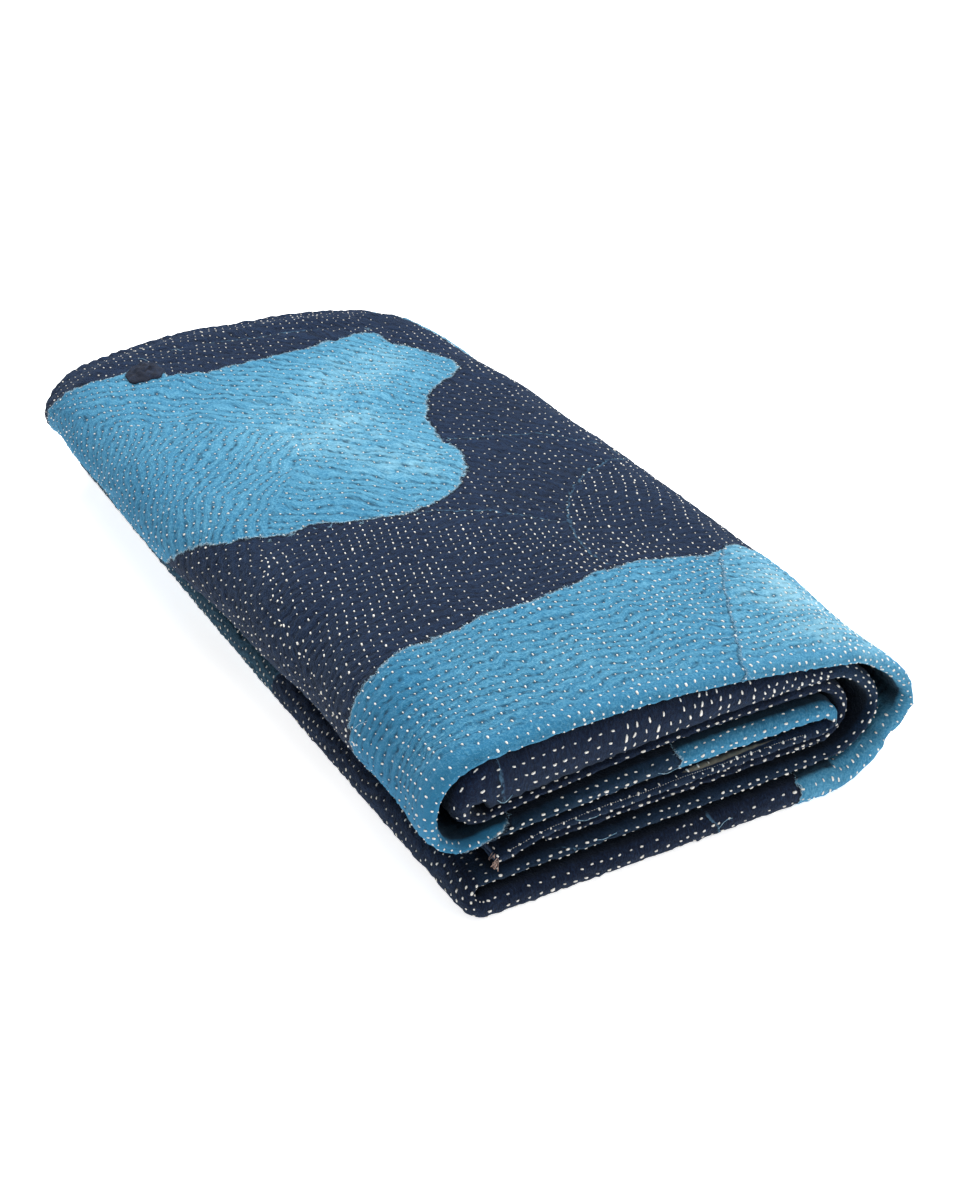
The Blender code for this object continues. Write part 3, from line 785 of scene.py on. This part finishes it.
def clothMaterial():
    g = Graph("indigo cloth")
    cloth, rowMap = g.uv("cloth"), g.uv("rows")
    pale, teal, beige, seam, fadeAndShade, lean, gapShade = (
        g.node("ShaderNodeAttribute", dict(attribute_name=name))[2]
        for name in ("pale", "teal", "beige", "seam", "fadeAndShade", "lean", "gap"))
    acrossRow, alongRow = g.axes(rowMap)[:2]
    fromFold = g.axes(cloth)[1]
    flat = abs(fromFold).ease(0.008, 0.030) * 0.8 + 0.2    # the fold at the front is pulled smooth
    fine, ragged = g.noise(cloth, noiseOf["fine"], 3, 0.65), g.noise(cloth, noiseOf["ragged"], 3)
    rag = (ragged - 0.5) * tearing["ragged"] + (fine - 0.5) * tearing["fine"]
    seamRag = rag * tearing["seamShare"]
    edge = pale + rag
    isPale = edge.ease(-0.0003, 0.0003)
    isTeal = (teal + seamRag).ease(-0.0005, 0.0005)
    onEdge = (1 - abs(edge - 0.0003).ease(0.0003, 0.0016)) * fine.ease(0.42, 0.60)
    outside = 1 - abs(edge + 0.0017).ease(0.0004, 0.0019)
    onTealEdge = (1 - abs(teal + seamRag).ease(0.0, 0.0017)) * fine.ease(0.38, 0.58)
    onSeam = (1 - abs(seam + seamRag).ease(0.0002, 0.0013)) * ragged.ease(0.40, 0.58)
    shadowBelowSeam = 1 - abs(seam + seamRag + 0.0016).ease(0.0, 0.0016)
    nearRow = (acrossRow * (2 * math.pi)).cos() * 0.5 + 0.5
    strayed = alongRow + (g.noise(rowMap, 1.5, 2, 0.6) - 0.5) * (1 - nearRow) * 1.5
    wave = (strayed * (2 * math.pi)).cos() * 0.5 + 0.5
    broken = g.noise(rowMap, 1.1, 3, 0.6).ease(0.38, 0.58)
    # the dimples beside the stitches, used as bump and as painted shade
    valley = wave ** 3 * (nearRow * 0.55 + 0.45) * (broken * 0.8 + 0.2) * flat
    # painted highlight together with wear on the ridges between the dimples
    ridge = (1 - wave) ** 2 * 0.6 * broken
    grain = g.noise(g.scaled(cloth, (1, 0.7, 1)), noiseOf["grain"], 4, 0.7).ease(0.32, 0.70)
    streak = g.noise(g.scaled(rowMap, (0.50, 3.4, 1)), 1.7, 4, 0.68)
    crinkle = g.noise(g.scaled(rowMap, (1.1, 4.5, 1)), 2.6, 4, 0.7)
    cloud = g.noise(cloth, noiseOf["cloud"], 4, 0.6)
    patchy = g.noise(cloth, noiseOf["patchy"], 5, 0.72).ease(0.32, 0.68)
    weave = g.noise(g.scaled(cloth, (1, 0.45, 1)), noiseOf["weave"], 3, 0.7)
    fuzz = g.noise(cloth, noiseOf["fuzz"], 5, 0.75)
    wearAndHighlight = (streak.ease(0.36, 0.74) * wearAndHighlightShare["streak"] + ridge * wearAndHighlightShare["ridge"]) * flat
    for name, amount in (("crinkle", crinkle.ease(0.35, 0.72)), ("weave", weave.ease(0.3, 0.8)),
                         ("grain", grain), ("fuzz", fuzz.ease(0.3, 0.75)), ("cloud", cloud)):
        wearAndHighlight = wearAndHighlight + amount * wearAndHighlightShare[name]
    wearAndHighlight = wearAndHighlight - wearAndHighlightShare["less"]
    # fading lightens the dye; below zero it is painted shade
    wornAndShaded = fadeAndShade * (patchy * 0.8 + streak * 0.9 + 0.1)
    navy = g.mix(lean.clamp(), dyes["navy"], dyes["navySea"])
    # below zero the lean is painted shade: the runs under the top and the left side darken towards black
    # navy
    navy = g.mix((-lean).clamp(), navy, dyes["navyShade"])
    navy = g.mix((wearAndHighlight + wornAndShaded * 0.12).clamp(), navy, dyes["navyWorn"])
    blue = g.mix((wearAndHighlight + wornAndShaded * 0.42).clamp(), dyes["pale"], dyes["paleWorn"])
    blue = g.mix(((wornAndShaded - 0.45) * 0.9 + (wearAndHighlight - 0.5) * 0.4).clamp() * 0.75, blue, dyes["paleFaded"])
    sea = g.mix(wearAndHighlight.clamp(), dyes["teal"], dyes["tealWorn"])
    colour = g.mix(isPale, g.mix(isTeal, navy, sea), blue)
    colour = g.mix(beige.ease(-0.0006, 0.0006), colour, dyes["beige"])
    dark = dyes["shade"]
    # painted shade in the dimples beside the stitches
    colour = g.mix((valley * cover["valley"]).clamp(), colour, g.mix(cover["deep"], colour, dark))
    # painted shadow outside the pale patch edges and beside the seams
    colour = g.mix((outside * cover["outside"] + shadowBelowSeam * cover["shadowBelowSeam"]).clamp(), colour, dark)
    colour = g.mix((onEdge * cover["edge"]).clamp(), colour, dyes["fray"])
    colour = g.mix((onSeam * cover["seam"] + onTealEdge * cover["tealEdge"]).clamp(), colour, dyes["seam"])
    # painted shade between the folded layers
    colour = g.mix((gapShade * cover["gap"]).clamp(), colour, dark)
    puckers = g.noise(g.scaled(rowMap, (0.7, 2.6, 1)), 1.9, 3, 0.6)
    height = valley * stands["valley"] + (puckers * stands["pucker"] + streak * stands["streak"]) * flat
    for name, amount in (("crinkle", crinkle), ("weave", weave), ("fuzz", fuzz), ("grain", grain),
                         ("patch", isPale), ("edge", onEdge), ("seam", onSeam)):
        height = height + amount * stands[name]
    g.shade(Base_Color=colour, Roughness=0.92, Normal=g.bump(height, 1.0), Sheen_Weight=0.14,
            Sheen_Roughness=0.5, Sheen_Tint=(0.42, 0.60, 0.82, 1), Specular_IOR_Level=0.12)
    return g.material


mesh.materials.append(clothMaterial())
print("cloth material")


def tubes(name, centres, normals, radii, material, sides=5, flatness=0.85):    # small tubes as one mesh
    tangent = np.gradient(centres, axis=1)
    tangent /= np.linalg.norm(tangent, axis=2)[..., None]
    side = np.cross(normals, tangent)
    side /= np.linalg.norm(side, axis=2)[..., None]
    lift = np.cross(tangent, side)
    rings = centres.shape[1]
    turn = 2 * math.pi * np.arange(sides) / sides
    around = side[:, :, None] * np.cos(turn)[:, None] + lift[:, :, None] * np.sin(turn)[:, None] * flatness
    co = centres[:, :, None] + around * radii[:, :, None, None]
    co[..., 2] = np.maximum(co[..., 2], 0)
    each = rings * sides
    shape = []
    for ring in range(rings - 1):
        for k in range(sides):
            a, b = ring * sides + k, ring * sides + (k + 1) % sides
            shape.append((a, b, b + sides, a + sides))
    shape += [tuple(range(sides))[::-1], tuple(range(each - sides, each))]
    faces = [tuple(i + n * each for i in face) for n in range(len(centres)) for face in shape]
    data = bpy.data.meshes.new(name)
    data.from_pydata(co.reshape(-1, 3).tolist(), [], faces)
    data.update()
    data.shade_smooth()
    data.materials.append(material)
    return addObject(name, data)


def clothLines(qu, qw, lifts):    # lines of rings laid on the cloth; qu, qw and lifts are lines by rings
    shape = qu.shape
    points, normals = onCloth(qu.ravel(), qw.ravel())
    points, normals = points.reshape(*shape, 3), normals.reshape(*shape, 3)
    return points + normals * lifts[..., None], normals


def threadMaterial(name, light, dark, scale):
    g = Graph(name)
    where = g.node("ShaderNodeTexCoord")[3]
    speck = g.noise(where, scale, 3, 0.6)
    colour = g.mix(speck.ease(0.30, 0.62), dark, light)
    g.shade(Base_Color=colour, Roughness=0.85, Normal=g.bump(speck, 0.0004, 0.4))
    return g.material


# stitches, small bent strands of white thread
thread = dict(length=(0.0013, 0.0019), radius=(0.00033, 0.00052), perPiece=5000, missed=0.03,
              offShoulder=0.0022, fromW=-0.026, toW=0.803, noseW=0.024, strayRow=0.05, strayPitch=0.06,
              strayHeading=0.17, strayBack=0.22, strayUpright=0.35, beforeTongue=0.02, pastRoll=0.17,
              fittings=25, light=tone(254, 252, 246), dark=tone(228, 223, 210), noise=900)


def stitchPlaces(field):
    uLow, uHigh = (uOf["hem"], float(u[-1])) if field >= underField else rows["topReach"]
    basis = np.array((rows["across"][field], rows["along"][field]))
    back = np.linalg.inv(basis)
    corners = np.array([(a, b) for a in (uLow, uHigh) for b in (-0.03, 0.81)]) @ basis.T
    low, high = corners.min(0) - 0.08, corners.max(0) + 0.08
    ks = np.arange(math.floor(low[0] / rows["rowGap"]), math.ceil(high[0] / rows["rowGap"]))
    ms = np.arange(math.floor(low[1] / rows["pitch"]), math.ceil(high[1] / rows["pitch"]))
    k, m = (part.ravel().astype(float) for part in np.meshgrid(ks, ms, indexing="ij"))
    wholeRow = k.astype(int)
    k = k + rng.normal(0, thread["strayRow"], len(k))
    m = m + rng.normal(0, thread["strayPitch"], len(m))
    q = np.stack((k * rows["rowGap"], m * rows["pitch"]), 1) @ back.T
    for _ in range(thread["fittings"]):    # moved until its row and its number in the row are right
        a, b = rowCoords(q[:, 0], q[:, 1], field)
        q = q + 0.7 * np.stack(((k - a) * rows["rowGap"], (m - b) * rows["pitch"]), 1) @ back.T
    qu, qw = q.T
    fineHere = fineColumn[columnAt(qu)]
    keep = (qu > uLow) & (qu < uHigh) & (qw < thread["toW"]) & (qw > thread["fromW"])
    keep &= (fieldAt(qu, qw) == field) & (fineHere | (np.abs(qw) < thread["noseW"]))
    keep &= (rng.random(len(k)) > thread["missed"]) & (gapShadeField(qu, qw) < gap["stitchesUpTo"])
    keep &= np.abs(qu - shoulderU(qw)) > thread["offShoulder"]
    step = 0.0004    # the stitch lies along its row, so square to the way in which the rows are counted
    slopeU = rowCoords(qu + step, qw, field)[0] - rowCoords(qu - step, qw, field)[0]
    slopeW = rowCoords(qu, qw + step, field)[0] - rowCoords(qu, qw - step, field)[0]
    heading = np.arctan2(slopeU, -slopeW) + rng.normal(0, thread["strayHeading"], len(k))
    if field == backField:
        heading = rows["backHeading"] + rng.normal(0, thread["strayBack"], len(k))
    upright = (qu > uOf["roll"]) & (qu < uOf["roll"] + thread["pastRoll"])
    upright |= qu < uOf["tongue"] - thread["beforeTongue"]
    turned = heading + math.pi / 2 + rng.normal(0, thread["strayUpright"], len(k))
    heading = np.where(upright, turned, heading)
    size = rng.beta(1.3, 1.9, len(k)) * (0.62 + 0.55 * hashed(wholeRow, 9))
    size = np.where(np.abs(qw) < 0.02, size * 0.9 + 0.30, size)
    reach = rows["shortened"][field]
    return np.stack((qu, qw, reach * np.cos(heading), reach * np.sin(heading), size), 1)[keep]


# from, to and step along w, and how many of the stitches are there
chain = dict(front=(0.100, 0.335, 0.0078), back=(0.470, 0.650, 0.0085), frontKept=0.86, backKept=0.5,
             stray=0.0014, strayHeading=0.35, size=(0.35, 1.0))


def shoulderChain():    # closer, bigger stitches here and there where the two fields meet
    w = np.concatenate((np.arange(*chain["front"]), np.arange(*chain["back"])))
    w = w + rng.normal(0, chain["stray"], len(w))
    base = shoulderU(w) + rng.normal(0, chain["stray"], len(w))
    slope = shoulderU(w + 0.004) - shoulderU(w - 0.004)
    heading = np.arctan2(0.008, slope) + rng.normal(0, chain["strayHeading"], len(w))
    size = rng.uniform(*chain["size"], len(w))
    kept = rng.random(len(w)) < np.where(w < 0.4, chain["frontKept"], chain["backKept"])
    return np.stack((base, w, np.cos(heading), np.sin(heading), size), 1)[kept]


def stitches(name, spots, material, kind=None):
    qu, qw, du, dw, size = (part[:, None] for part in spots.T)
    (shortest, longer), (thinnest, thicker) = (kind or thread)["length"], (kind or thread)["radius"]
    length, radius = shortest + longer * size, thinnest + thicker * size
    ringAt, ringSize = np.array((-0.5, -0.24, 0.24, 0.5)), np.array((0.45, 1.0, 1.0, 0.45))
    ringLift = np.array((-0.45, 0.25, 0.25, -0.45))
    centres, normals = clothLines(qu + du * length * ringAt, qw + dw * length * ringAt, radius * ringLift)
    return tubes(name, centres, normals, radius * ringSize, material)


whiteThread = threadMaterial("white thread", thread["light"], thread["dark"], thread["noise"])
spots = np.concatenate([stitchPlaces(field) for field in range(rollField + 1)] + [shoulderChain()])
pieces = []
for n, first in enumerate(range(0, len(spots), thread["perPiece"])):
    pieces.append(stitches("stitches_%d" % (n + 1), spots[first:first + thread["perPiece"]], whiteThread))
print("stitches", len(spots))

# a machine-sewn line of fine stitches along the fold of the hem
hemLine = dict(fromU=-0.680, toU=-0.442, w=0.0056, sway=0.0004, gap=0.0020, length=(0.0010, 0),
               radius=(0.00014, 0))
hemU = np.arange(hemLine["fromU"], hemLine["toU"], hemLine["gap"])
hemW = hemLine["w"] + hemLine["sway"] * np.sin(hemU * 90)
hemSpots = np.stack((hemU, hemW, np.ones_like(hemU), np.zeros_like(hemU), np.zeros_like(hemU)), 1)
pieces.append(stitches("hem_stitches", hemSpots, whiteThread, hemLine))

# frayed edges: fine threads that lie along a torn edge and stray over it
fray = dict(gap=0.0011, length=(0.0010, 0.0030), radius=(0.00009, 0.00018), lift=0.0006, rings=4,
            strays=0.45, strayLean=(1.15, 0.45), lean=(0.15, 0.40), curl=0.45, noise=700,
            fromW=-0.024, toW=0.800, noseW=0.022, farthest=0.002, leastSlope=0.3)


def walked(line):    # how far along the line each of its points is
    return np.concatenate(([0], np.cumsum(np.hypot(*np.diff(line, axis=0).T))))


def alongLine(line, at):
    return np.interp(at, walked(line), line[:, 0]), np.interp(at, walked(line), line[:, 1])


def edgeSpots(line, closed, field, gap):    # places on a torn edge with the direction that leads outwards
    line = np.array(line + line[:1] if closed else line)
    at = np.arange(0, walked(line)[-1], gap)
    qu, qw = alongLine(line, at + rng.uniform(-0.5, 0.5, len(at)) * gap)
    step = 0.0003
    for _ in range(3):
        slopeU = (field(qu + step, qw) - field(qu - step, qw)) / (2 * step)
        slopeW = (field(qu, qw + step) - field(qu, qw - step)) / (2 * step)
        steep = np.maximum(np.hypot(slopeU, slopeW), fray["leastSlope"])
        gone = np.clip(field(qu, qw) / steep, -fray["farthest"], fray["farthest"])
        qu, qw = qu - gone * slopeU / steep, qw - gone * slopeW / steep
    fineHere = fineColumn[columnAt(qu)]
    keep = (qw > fray["fromW"]) & (qw < fray["toW"]) & (fineHere | (np.abs(qw) < fray["noseW"]))
    return np.stack((qu, qw, -slopeU / steep, -slopeW / steep), 1)[keep]


def frayedThreads(name, edges, material, reach=1.0):
    count = len(edges)
    qu, qw, outU, outW = (part[:, None] for part in edges.T)
    # lumps of longer threads, with quiet stretches between them
    lumps = smooth(0.5 + 0.8 * waves(edges[:, 0], edges[:, 1], 51, 0.012, 8))[:, None]
    strays = rng.random((count, 1)) < fray["strays"] + 0.25 * lumps
    leans = [rng.normal(*fray[kind], (count, 1)) for kind in ("strayLean", "lean")]
    lean = np.where(strays, *leans)
    turn = np.where(rng.random((count, 1)) < 0.5, -1, 1)
    alongU, alongW = -outW * turn, outU * turn
    headU, headW = alongU * np.cos(lean) + outU * np.sin(lean), alongW * np.cos(lean) + outW * np.sin(lean)
    length = rng.uniform(*fray["length"], (count, 1)) * (0.4 + 0.9 * lumps)
    length = length * np.where(strays, 0.75, 1.1) * reach
    curl = rng.normal(0, fray["curl"], (count, 1))
    share = np.linspace(0, 1, fray["rings"])
    bent = share ** 2 * curl
    start = rng.normal(0.0001, 0.0004, (count, 1))
    lineU = qu - outU * start + length * (headU * share - headW * bent)
    lineW = qw - outW * start + length * (headW * share + headU * bent)
    radius = rng.uniform(*fray["radius"], (count, 1))
    lift = radius * 0.6 + fray["lift"] * rng.random((count, 1)) * np.sin(share * 2.4)
    centres, normals = clothLines(lineU, lineW, lift)
    ringSize = np.array((0.9, 1.0, 0.8, 0.45))
    return tubes(name, centres, normals, radius * ringSize, material, sides=3, flatness=1)


paleFray = threadMaterial("pale frayed thread", tone(176, 212, 230), tone(72, 134, 174), fray["noise"])
blueFray = threadMaterial("blue frayed thread", tone(84, 122, 150), tone(28, 48, 72), fray["noise"])
paleEdges = np.concatenate([edgeSpots(outline, True, paleField, fray["gap"]) for outline in patches.values()]
                           + [edgeSpots(seams["frontPale"], False, seamField, fray["gap"] * 0.6)])
darkSeams = [line for name, line in seams.items() if name != "frontPale"]
blueEdges = np.concatenate([edgeSpots(line, False, seamField, fray["gap"] * 1.8) for line in darkSeams]
                           + [edgeSpots(tealPatch, True, tealField, fray["gap"] * 1.2)])
pieces.append(frayedThreads("frayed_edges", paleEdges, paleFray))
pieces.append(frayedThreads("frayed_seams", blueEdges, blueFray))

# small tufts of torn thread: u, w, reach
tufts = [(0.001, 0.353, 0.0026), (0.017, 0.346, 0.0020), (0.036, 0.341, 0.0034), (0.047, 0.335, 0.0026),
         (0.068, 0.323, 0.0030), (0.112, 0.314, 0.0030), (0.273, 0.713, 0.0045), (0.206, 0.437, 0.0030),
         (0.198, 0.052, 0.0034), (0.216, 0.078, 0.0050), (0.257, 0.118, 0.0036), (0.027, 0.139, 0.0028)]
tuftThreads = 16
tuftRows = []
for tu, tw, reach in tufts:
    way = rng.uniform(0, 2 * math.pi, tuftThreads)
    off = rng.uniform(0, 0.6, tuftThreads) * reach
    tuftRows.append(np.stack((tu + off * np.cos(way), tw + off * np.sin(way), np.cos(way), np.sin(way)), 1))
pieces.append(frayedThreads("torn_tufts", np.concatenate(tuftRows), paleFray, reach=1.1))

# loose threads lying on the cloth: u, w points
looseThreads = [
    [(0.085, 0.752), (0.089, 0.746), (0.091, 0.740)],
    [(0.050, 0.752), (0.054, 0.745), (0.056, 0.741)],
    [(0.200, 0.046), (0.206, 0.050), (0.214, 0.049), (0.221, 0.053)],
    [(0.193, 0.004), (0.199, -0.004), (0.206, -0.008)],
    [(-0.630, 0.004), (-0.624, -0.001), (-0.618, 0.001), (-0.612, -0.003)],
    [(0.912, 0.004), (0.920, 0.001), (0.930, 0.003)],
    [(0.600, 0.001), (0.594, -0.004), (0.588, -0.003)], [(1.476, 0.006), (1.482, 0.009), (1.487, 0.006)],
    [(-0.058, 0.118), (-0.052, 0.112), (-0.047, 0.106)], [(-0.262, 0.001), (-0.270, 0.005), (-0.278, 0.003)],
]
loose = dict(rings=9, radius=0.00019, low=0.0002, arch=0.0009)
lineU, lineW = np.empty((2, len(looseThreads), loose["rings"]))
for n, line in enumerate(looseThreads):
    line = np.array(softened(line, closed=False))
    lineU[n], lineW[n] = alongLine(line, np.linspace(0, walked(line)[-1], loose["rings"]))
arch = np.sin(np.linspace(0, math.pi, loose["rings"])) * rng.uniform(0.4, 1, (len(looseThreads), 1))
centres, normals = clothLines(lineU, lineW, loose["low"] + loose["arch"] * arch)
looseRadius = np.full(lineU.shape, loose["radius"])
pieces.append(tubes("loose_threads", centres, normals, looseRadius, paleFray, sides=4, flatness=1))

# the free end of the hem is torn, with beige and pink threads hanging from it
hemTear = dict(fromW=-0.012, toW=0.014, count=18, length=(0.0012, 0.0042), radius=0.00022, drop=-0.55,
               edge=0.0003, inner=0.0060, stray=0.35, lean=(0, -0.25, -0.35))
beigeFray = threadMaterial("beige frayed thread", tone(208, 176, 162), tone(34, 42, 58), 260)
tearW = rng.uniform(hemTear["fromW"], hemTear["toW"], hemTear["count"])
tearPoint, tearNormal = onCloth(np.full(len(tearW), uOf["hem"] + hemTear["edge"]), tearW)
tearInner, _ = onCloth(np.full(len(tearW), uOf["hem"] + hemTear["inner"]), tearW)
tearOut = tearPoint - tearInner
tearOut /= np.linalg.norm(tearOut, axis=1)[:, None]
tearOut += rng.normal(0, hemTear["stray"], tearOut.shape) + np.array(hemTear["lean"])
share = np.linspace(0, 1, fray["rings"])[:, None]
tearLength = rng.uniform(*hemTear["length"], (len(tearW), 1, 1))
tearDrop = np.array((0, 0, hemTear["drop"])) * share ** 2
tearLines = tearPoint[:, None] + tearLength * (tearOut[:, None] * share + tearDrop)
tearNormals = np.repeat(tearNormal[:, None], fray["rings"], 1)
tearRadius = np.full(tearLines.shape[:2], hemTear["radius"])
pieces.append(tubes("hem_tear", tearLines, tearNormals, tearRadius, beigeFray, sides=3, flatness=1))
print("frayed threads", len(paleEdges) + len(blueEdges))

# a small round repair patch on the back band
repair = dict(u=0.042, w=0.7155, reachA=0.0180, reachB=0.0225, wayA=(0.743, -0.669), wayB=(0.396, 0.918),
              high=0.0030, rim=0.0012, below=-0.0010, lumps=0.0013, rings=12, segments=44,
              dark=tone(9, 18, 36), light=tone(34, 52, 80))


def repairPatch():
    segment = 2 * math.pi * np.arange(repair["segments"]) / repair["segments"]
    outline = 1 + 0.10 * np.sin(segment * 2 + 0.6) + 0.08 * np.sin(segment * 3 + 2.1)
    outline = outline + 0.05 * np.sin(segment * 8)
    co = []
    for isTop in (True, False):
        for ring in range(repair["rings"] + 1):
            share = ring / repair["rings"] * outline
            a, b = share * np.cos(segment) * repair["reachA"], share * np.sin(segment) * repair["reachB"]
            qu = repair["u"] + a * repair["wayA"][0] + b * repair["wayB"][0]
            qw = repair["w"] + a * repair["wayA"][1] + b * repair["wayB"][1]
            crown = max(0.0, 1 - (ring / repair["rings"]) ** 3)
            lift = np.full(len(qu), repair["below"])
            if isTop:
                lumps = repair["lumps"] * waves(qu, qw, 61, 0.009, 9) * crown ** 0.5
                lift = repair["rim"] + repair["high"] * crown + lumps
            points, _ = clothLines(qu[None], qw[None], lift[None])
            co.append(points[0])
    n, rings = repair["segments"], repair["rings"] + 1
    faces = []
    for sheet in range(2):
        for ring in range(rings - 1):
            for k in range(n):
                a, b = (sheet * rings + ring) * n + k, (sheet * rings + ring) * n + (k + 1) % n
                face = (a, a + n, b + n, b)
                faces.append(face if sheet == 0 else face[::-1])
    for k in range(n):
        top, low = (rings - 1) * n, (2 * rings - 1) * n
        faces.append((top + k, low + k, low + (k + 1) % n, top + (k + 1) % n))
    data = bpy.data.meshes.new("repair_patch")
    data.from_pydata(np.concatenate(co).tolist(), [], faces)
    build = bmesh.new()
    build.from_mesh(data)
    bmesh.ops.remove_doubles(build, verts=build.verts, dist=0.00002)
    bmesh.ops.recalc_face_normals(build, faces=build.faces)
    build.to_mesh(data)
    build.free()
    data.shade_smooth()
    data.materials.append(repairMaterial())
    edge = np.stack((qu, qw, qu - repair["u"], qw - repair["w"]), 1)
    edge[:, 2:] /= np.linalg.norm(edge[:, 2:], axis=1)[:, None]
    return addObject("repair_patch", data), np.repeat(edge, 4, axis=0)


def repairMaterial():
    g = Graph("dark repair cloth")
    where = g.node("ShaderNodeTexCoord")[3]
    fuzz, cloud = g.noise(where, 700, 5, 0.75), g.noise(where, 120, 3, 0.6)
    lint = (fuzz.ease(0.3, 0.75) * 0.5 + cloud.ease(0.4, 0.7) * 0.5 - 0.1).clamp()
    colour = g.mix(lint, repair["dark"], repair["light"])
    g.shade(Base_Color=colour, Roughness=0.95, Normal=g.bump(fuzz + cloud, 0.0014))
    return g.material


patchPiece, patchRim = repairPatch()
pieces.append(patchPiece)
pieces.append(frayedThreads("repair_fray", patchRim, blueFray, reach=1.2))
print("repair patch")

# floor and light
Lamp = namedtuple("Lamp", "name place aim size power")
studio = dict(floorSize=60, floorLow=-0.0002, floorTone=(0.97, 0.97, 0.97, 1), floorGlow=0.8, sky=0.26,
              lamps=(Lamp("key", (0.8, 0.6, 2.6), (0, 0, 0), 3.4, 156),
                     Lamp("fill", (0.6, -2.2, 1.3), (0, 0, 0.05), 1.6, 8)))
white = (1, 1, 1, 1)
floorMaterial = Graph("floor")
floorMaterial.shade(Base_Color=studio["floorTone"], Roughness=0.9, Emission_Color=white,
                    Emission_Strength=studio["floorGlow"])
bpy.ops.object.select_all(action="DESELECT")
bpy.ops.mesh.primitive_plane_add(size=studio["floorSize"], location=(0, 0, studio["floorLow"]))
bpy.ops.object.transform_apply(location=True)
floor = bpy.context.object
floor.name = "floor"
floor.data.materials.append(floorMaterial.material)

world = bpy.data.worlds.new("studio")
world.use_nodes = True
sky = world.node_tree.nodes["Background"].inputs
sky[0].default_value = white
sky[1].default_value = studio["sky"]
bpy.context.scene.world = world

for lamp in studio["lamps"]:
    data = bpy.data.lights.new(lamp.name, "AREA")
    data.size, data.energy = lamp.size, lamp.power
    made = addObject(lamp.name, data)
    made.location = lamp.place
    aim = np.array(lamp.aim) - np.array(lamp.place)
    away = math.hypot(aim[0], aim[1])
    made.rotation_euler = (math.atan2(away, -aim[2]), 0, math.atan2(-aim[0], aim[1]))
print("floor and", len(studio["lamps"]), "lamps")

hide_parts("quilt")
for piece in [quilt] + pieces:
    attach(piece, "root")
floor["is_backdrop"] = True

sizes = dict(before=[list(map(float, row)) for row in boundsBefore],
             after=[list(map(float, row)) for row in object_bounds()])
